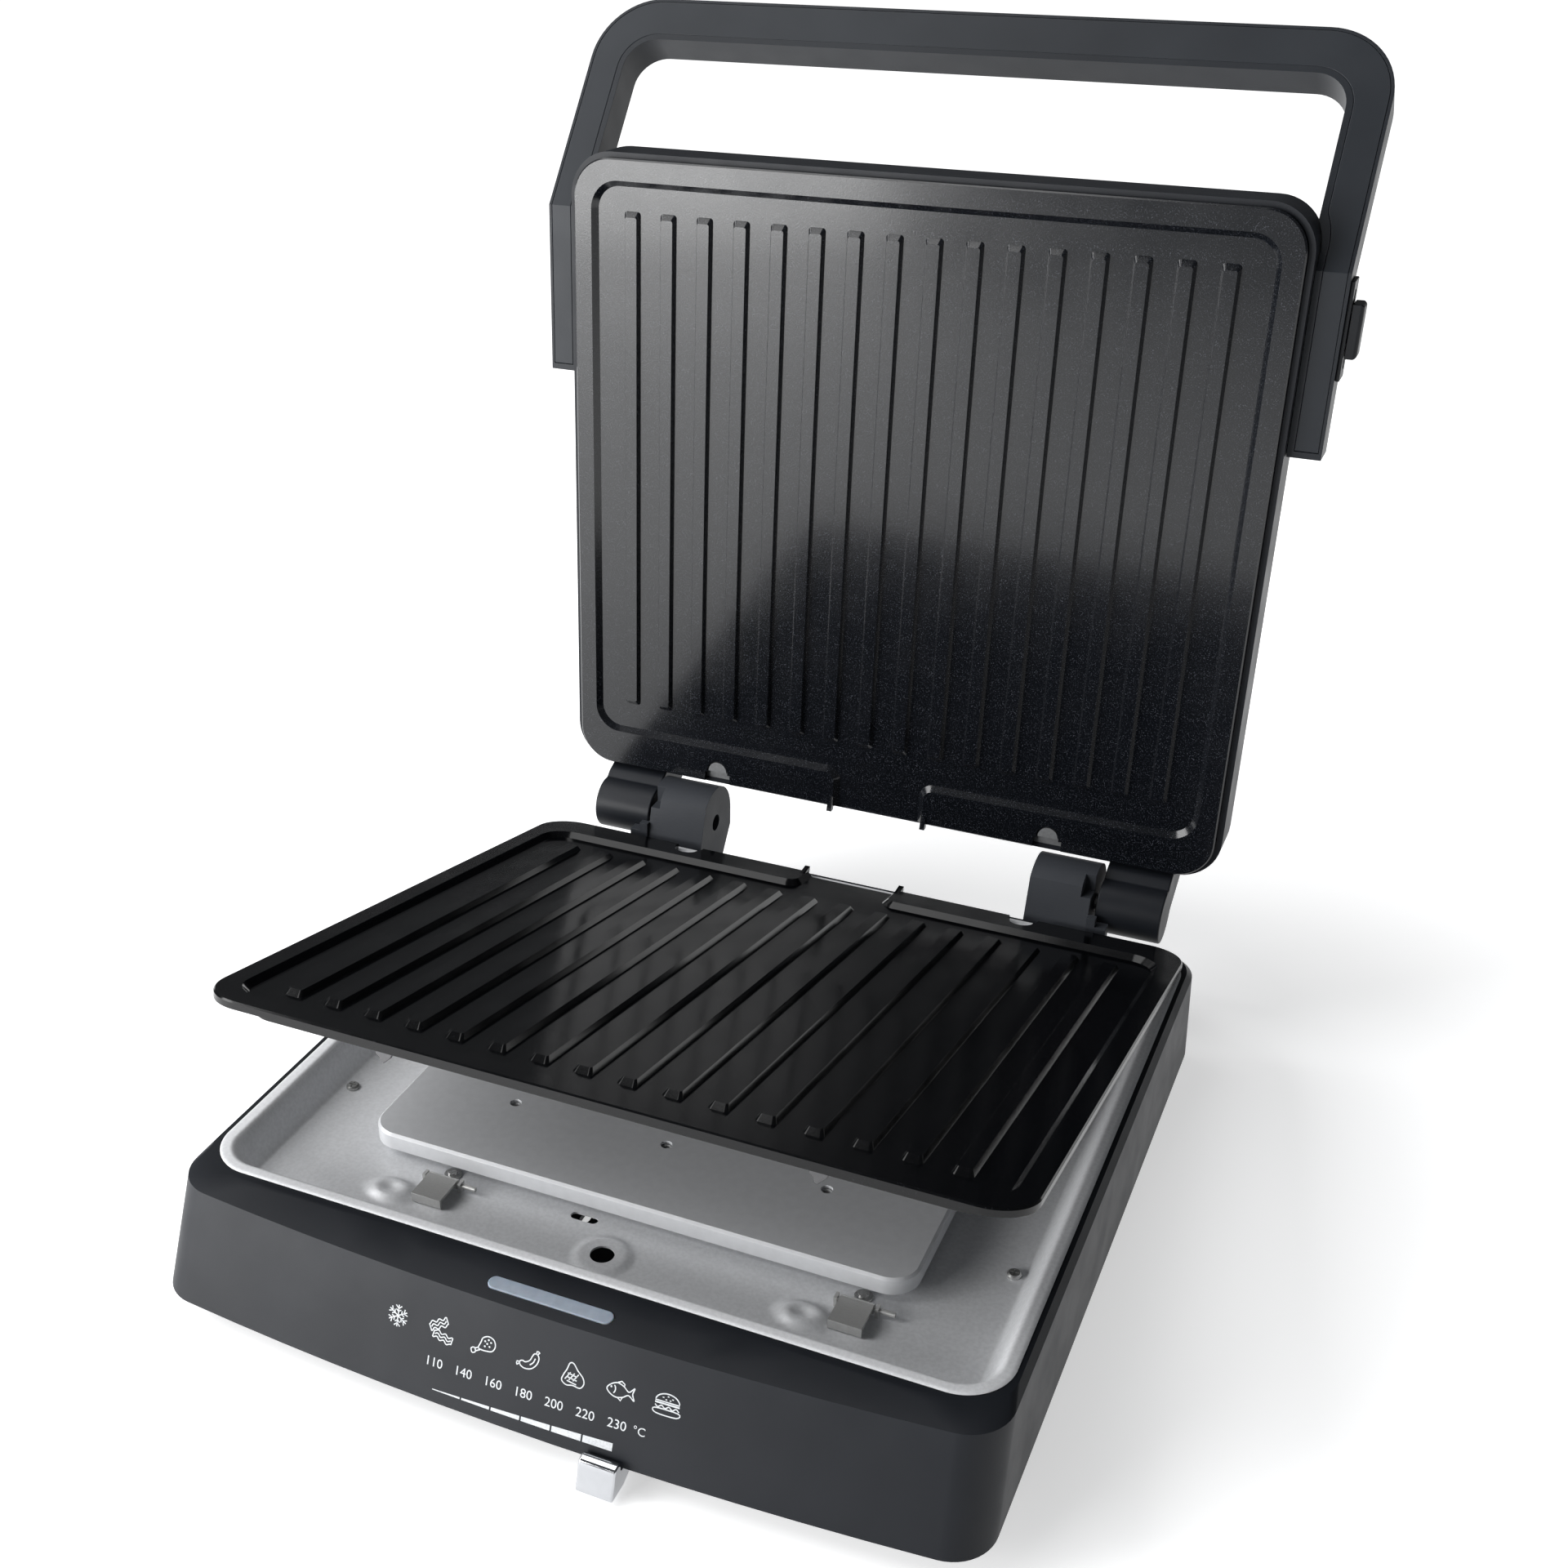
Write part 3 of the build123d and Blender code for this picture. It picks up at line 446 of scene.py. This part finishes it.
def ribbon(points, width, closed=False):
    """Stroke of even width along a line of points."""
    verts, faces = [], []
    n = len(points)
    for i, (px, py) in enumerate(points):
        before = points[(i - 1) % n] if closed or i else points[0]
        after = points[(i + 1) % n] if closed or i < n - 1 else points[-1]
        dx, dy = after[0] - before[0], after[1] - before[1]
        length = math.hypot(dx, dy) or 1.0
        ox, oy = -dy / length * width / 2, dx / length * width / 2
        verts += [(px + ox, py + oy), (px - ox, py - oy)]
    for i in range(n if closed else n - 1):
        a, b = 2 * i, 2 * ((i + 1) % n)
        faces.append((a, b, b + 1, a + 1))
    return verts, faces


def artwork(strokes):
    """Join several strokes into one list of vertices and faces."""
    verts, faces = [], []
    for part_verts, part_faces in strokes:
        shift = len(verts)
        verts += part_verts
        faces += [tuple(i + shift for i in f) for f in part_faces]
    return verts, faces


def arc(cx, cy, rx, ry, start, end, steps=14):
    angles = [math.radians(start + (end - start) * i / steps) for i in range(steps + 1)]
    return [(cx + rx * math.cos(a), cy + ry * math.sin(a)) for a in angles]


def turned(points, degrees, cx=0.0, cy=0.0):
    c, s = math.cos(math.radians(degrees)), math.sin(math.radians(degrees))
    return [(cx + x * c - y * s, cy + x * s + y * c) for x, y in points]


LINE = 0.42                 # line width of the symbols, in millimetres


def loop(points, steps=5):
    """Smooth closed line through a few points."""
    out = []
    n = len(points)
    for i in range(n):
        a, b, c, d = (points[(i + k) % n] for k in (-1, 0, 1, 2))
        for j in range(steps):
            t = j / steps
            out.append(tuple(
                0.5 * (2 * b[k] + (c[k] - a[k]) * t + (2 * a[k] - 5 * b[k] + 4 * c[k] - d[k]) * t ** 2
                       + (3 * b[k] - a[k] - 3 * c[k] + d[k]) * t ** 3) for k in (0, 1)))
    return out


def dot(x, y, radius=0.22):
    return ribbon(arc(x, y, radius, radius, 0, 330, 6), 0.3, True)


def snowflake():
    strokes = []
    for i in range(6):
        arm = [(0, 0), (0, 4.0)]
        barbs = [[(-1.2, 3.7), (0, 2.6), (1.2, 3.7)], [(-1.0, 2.3), (0, 1.5), (1.0, 2.3)]]
        strokes += [ribbon(turned(line, 60 * i), LINE) for line in [arm, *barbs]]
    return artwork(strokes)


def bacon():
    strokes = []
    for cx, cy, angle in ((-1.2, 2.2, 28), (0.9, -2.0, -12)):
        wave = [(t, 0.42 * math.sin(t * 2.2)) for t in [i * 0.25 - 3.7 for i in range(31)]]
        upper = [(x, y + 1.25) for x, y in wave]
        lower = [(x, y - 1.25) for x, y in wave]
        strokes.append(ribbon(turned(upper + lower[::-1], angle, cx, cy), LINE, True))
        strokes.append(ribbon(turned(wave[2:-2], angle, cx, cy), LINE))
    return artwork(strokes)


def drumstick():
    meat = loop([(-1.9, -1.2), (-1.2, 0.9), (-0.5, 2.8), (1.6, 3.8), (3.7, 3.1), (4.5, 1.1),
                 (3.6, -0.9), (1.5, -1.5), (-0.6, -1.6)])
    knob = loop([(-3.4, -1.6), (-4.6, -2.2), (-4.0, -3.6), (-2.8, -2.9)])
    bone = [[(-1.8, -1.0), (-3.2, -1.8)], [(-1.1, -1.7), (-2.8, -2.7)]]
    spice = ((0.4, 1.8), (1.7, 2.6), (1.3, 1.1), (2.7, 1.9), (2.3, 0.3), (0.5, 0.0))
    dots = [dot(x, y) for x, y in spice]
    strokes = [ribbon(meat, LINE, True), ribbon(knob, LINE, True)]
    return artwork(strokes + [ribbon(b, LINE) for b in bone] + dots)


def sausage():
    skin = loop([(-3.2, -0.9), (-2.9, -2.2), (-1.2, -2.9), (1.2, -2.4), (3.0, -0.6), (3.7, 1.6),
                 (3.2, 3.0), (1.9, 3.2), (1.2, 2.2), (0.4, 0.4), (-1.2, -0.6), (-2.2, -0.4)])
    knots = [[(-3.3, -1.4), (-4.3, -1.2), (-4.2, -2.4)], [(2.7, 3.2), (2.7, 4.3), (3.7, 4.0)]]
    shine = [(0.6, -1.2), (1.4, -0.5), (1.9, 0.2), (2.4, 1.6)]
    strokes = [ribbon(skin, LINE, True), ribbon(shine, LINE)]
    return artwork(strokes + [ribbon(loop(k, 3), LINE, True) for k in knots])


def steak():
    outline = loop([(-1.6, 4.0), (-0.2, 4.2), (1.6, 2.2), (3.8, 0.2), (4.4, -1.8), (3.2, -3.6),
                    (0.5, -3.4), (-2.0, -3.8), (-3.8, -2.6), (-3.4, -0.6), (-2.4, 1.6)])
    strokes = [ribbon(outline, LINE, True)]
    for off in (-1.5, 0.0, 1.5):
        strokes.append(ribbon([(off - 1.2, -1.9), (off + 0.6, 0.9)], LINE))
        strokes.append(ribbon([(-1.9, off * 0.9 - 0.9), (1.7, off * 0.9 - 1.5)], LINE))
    return artwork(strokes)


def fish():
    body = loop([(-5.0, -0.3), (-3.6, 1.5), (-1.4, 2.5), (1.0, 1.8), (3.0, 0.4), (4.9, 2.2),
                 (4.4, 0.0), (5.2, -2.2), (3.0, -0.8), (1.0, -2.0), (-1.4, -2.6), (-3.6, -1.9)])
    back_fin = [(-1.4, 2.6), (0.0, 3.4), (1.2, 2.6), (1.1, 1.8)]
    belly_fin = [(-0.8, -2.6), (0.4, -3.4), (0.9, -2.1)]
    gill = arc(-3.2, 0.0, 1.3, 1.7, -55, 55, 8)
    strokes = [ribbon(body, LINE, True), ribbon(gill, LINE), dot(-3.5, 0.6)]
    return artwork(strokes + [ribbon(back_fin, LINE), ribbon(belly_fin, LINE)])


def burger():
    bun = arc(0, 0.9, 4.3, 2.9, 0, 180, 16)
    base = loop([(-4.2, -1.9), (4.2, -1.9), (3.7, -3.6), (-3.7, -3.6)], 4)
    wave = [(x, -1.0 + 0.4 * math.sin(x * 2.4)) for x in [-4.3 + 0.3 * i for i in range(30)]]
    patty = [(-4.4, 0.2), (4.4, 0.2)]
    seed_places = ((-1.7, 2.3), (0, 2.9), (1.7, 2.3), (-0.6, 1.7), (0.9, 1.7))
    seeds = [[(x - 0.3, y), (x + 0.3, y)] for x, y in seed_places]
    strokes = [ribbon(bun, LINE, True), ribbon(base, LINE, True)]
    strokes += [ribbon(wave, LINE), ribbon(patty, 0.6)]
    return artwork(strokes + [ribbon(s, 0.36) for s in seeds])


def number_art(text, height):
    """Filled outlines of a short text, centred, as vertices and faces in millimetres."""
    curve = bpy.data.curves.new("number", "FONT")
    curve.body = text
    curve.size = 1.0
    curve.align_x = "CENTER"
    curve.resolution_u = 4
    obj = bpy.data.objects.new("number", curve)
    bpy.context.scene.collection.objects.link(obj)
    mesh = applied(obj)
    bpy.data.objects.remove(obj)
    top = max(v.co.y for v in mesh.vertices)
    scale = height / top
    verts = [(v.co.x * scale, v.co.y * scale - height / 2) for v in mesh.vertices]
    faces = [tuple(p.vertices) for p in mesh.polygons]
    bpy.data.meshes.remove(mesh)
    return verts, faces


ICONS = ((-54.1, snowflake), (-36.4, bacon), (-19.4, drumstick), (-1.8, sausage),
         (15.0, steak), (32.8, fish), (49.7, burger))
NUMBERS = ("110", "140", "160", "180", "200", "220", "230")
ICONS_DOWN = 16.5           # millimetres down the fascia from the crease
NUMBERS_DOWN = 28.3
NUMBERS_FROM = -37.6
NUMBER_PITCH = 11.8
NUMBER_HEIGHT = 3.3
UNIT_X = 41.4
UNIT_HEIGHT = 3.1
BARS_DOWN = 38.2
BARS = 6
BARS_SPAN = (-37.2, 33.2)
BAR_GAP = 0.35              # left free at each end of a bar
BAR_HEIGHTS = (0.25, 2.9)   # where the wedge starts and ends


def fascia_print():
    for x, draw in ICONS:
        put_print("print_" + draw.__name__, *draw(), x, ICONS_DOWN)
    for i, text in enumerate(NUMBERS):
        x = NUMBERS_FROM + i * NUMBER_PITCH
        put_print("print_" + text, *number_art(text, NUMBER_HEIGHT), x, NUMBERS_DOWN)
    put_print("print_unit", *number_art("°C", UNIT_HEIGHT), UNIT_X, NUMBERS_DOWN)
    left, right = BARS_SPAN
    thin, full = BAR_HEIGHTS
    width = (right - left) / BARS
    for i in range(BARS):
        a = left + i * width + BAR_GAP
        b = left + (i + 1) * width - BAR_GAP
        tall_a = thin + (full - thin) * (a - left) / (right - left)
        tall_b = thin + (full - thin) * (b - left) / (right - left)
        verts = [(a, 0), (b, 0), (b, tall_b), (a, tall_a)]
        put_print(f"print_bar_{i}", verts, [(0, 1, 2, 3)], 0.0, BARS_DOWN)


fascia_print()


# ---------------------------------------------------------------- floor, light and camera
FLOOR_HALF = 14.0


def floor():
    mesh = bpy.data.meshes.new("floor")
    s = FLOOR_HALF
    mesh.from_pydata([(-s, -s, 0), (s, -s, 0), (s, s, 0), (-s, s, 0)], [], [(0, 1, 2, 3)])
    obj = bpy.data.objects.new("floor", mesh)
    bpy.context.scene.collection.objects.link(obj)
    shade = Shader("floor_pale_painted_glow", (0.86, 0.865, 0.875), 0.6)
    shade.tint(shade.spread(shade.noise(3, 2.0), 0.3, 0.7, 0.0, 1.0), (0.88, 0.885, 0.89))
    # Painted light: the floor itself glows white. The glow is weaker near the object (0.55 out to
    # 0.26 m, full from 0.62 m) and weaker towards the front (full at y = -0.5 m, 0.3 at y = -1.3 m).
    shade.bsdf.inputs["Emission Color"].default_value = (1, 1, 1, 1)
    away = shade.nodes.new("ShaderNodeVectorMath")
    away.operation = "LENGTH"
    shade.links.new(shade.place.outputs["Object"], away.inputs[0])
    split = shade.nodes.new("ShaderNodeSeparateXYZ")
    shade.links.new(shade.place.outputs["Object"], split.inputs[0])
    glow = shade.nodes.new("ShaderNodeMath")
    glow.operation = "MULTIPLY"
    shade.links.new(shade.spread(away.outputs["Value"], 0.26, 0.62, 0.55, 1.0), glow.inputs[0])
    shade.links.new(shade.spread(split.outputs["Y"], -1.3, -0.5, 0.3, 1.0), glow.inputs[1])
    shade.links.new(glow.outputs["Value"], shade.bsdf.inputs["Emission Strength"])
    mesh.materials.append(shade.mat)
    obj.location.z = -0.0002


def area_light(name, location, target, size, power):
    data = bpy.data.lights.new(name, "AREA")
    data.shape = "RECTANGLE"
    data.size, data.size_y = size
    data.energy = power
    obj = bpy.data.objects.new(name, data)
    obj.location = location
    obj.rotation_euler = (Vector(target) - Vector(location)).to_track_quat("-Z", "Y").to_euler()
    bpy.context.scene.collection.objects.link(obj)


def lights():
    world = bpy.data.worlds.new("studio")
    bpy.context.scene.world = world
    world.use_nodes = True
    back = world.node_tree.nodes["Background"]
    back.inputs["Color"].default_value = (0.94, 0.97, 1.0, 1)
    back.inputs["Strength"].default_value = 0.10
    middle = (0.0, -0.05, 0.15)
    area_light("key", (-1.5, -0.6, 1.3), middle, (1.0, 1.0), 24)
    area_light("top", (-0.6, 0.3, 1.9), middle, (1.4, 1.0), 14)
    area_light("front", (-1.15, -1.45, 0.45), (0.0, -0.05, 0.12), (1.3, 0.8), 36)


CAMERA_AT = (0.24395, -0.62639, 0.50517)
CAMERA_TURN = (24.536, 30.001, 0.402)        # yaw to the left, pitch down, roll, in degrees
CAMERA_LENS = 44.10
CAMERA_SHIFT = (0.0642, 0.0545)


def camera():
    data = bpy.data.cameras.new("camera")
    data.sensor_width = 36
    data.lens = CAMERA_LENS
    data.shift_x, data.shift_y = CAMERA_SHIFT
    data.clip_start = 0.01
    data.clip_end = 100
    yaw, pitch, roll = (math.radians(a) for a in CAMERA_TURN)
    level = math.cos(pitch)
    ahead = Vector((-math.sin(yaw) * level, math.cos(yaw) * level, -math.sin(pitch)))
    right = Vector((math.cos(yaw), math.sin(yaw), 0))
    down = ahead.cross(right)
    right_rolled = right * math.cos(roll) + down * math.sin(roll)
    down_rolled = down * math.cos(roll) - right * math.sin(roll)
    obj = bpy.data.objects.new("camera", data)
    turn = Matrix((right_rolled, -down_rolled, -ahead)).transposed().to_4x4()
    obj.matrix_world = Matrix.Translation(CAMERA_AT) @ turn
    bpy.context.scene.collection.objects.link(obj)
    bpy.context.scene.camera = obj


floor()
lights()
camera()
bpy.context.scene.view_settings.view_transform = "Standard"
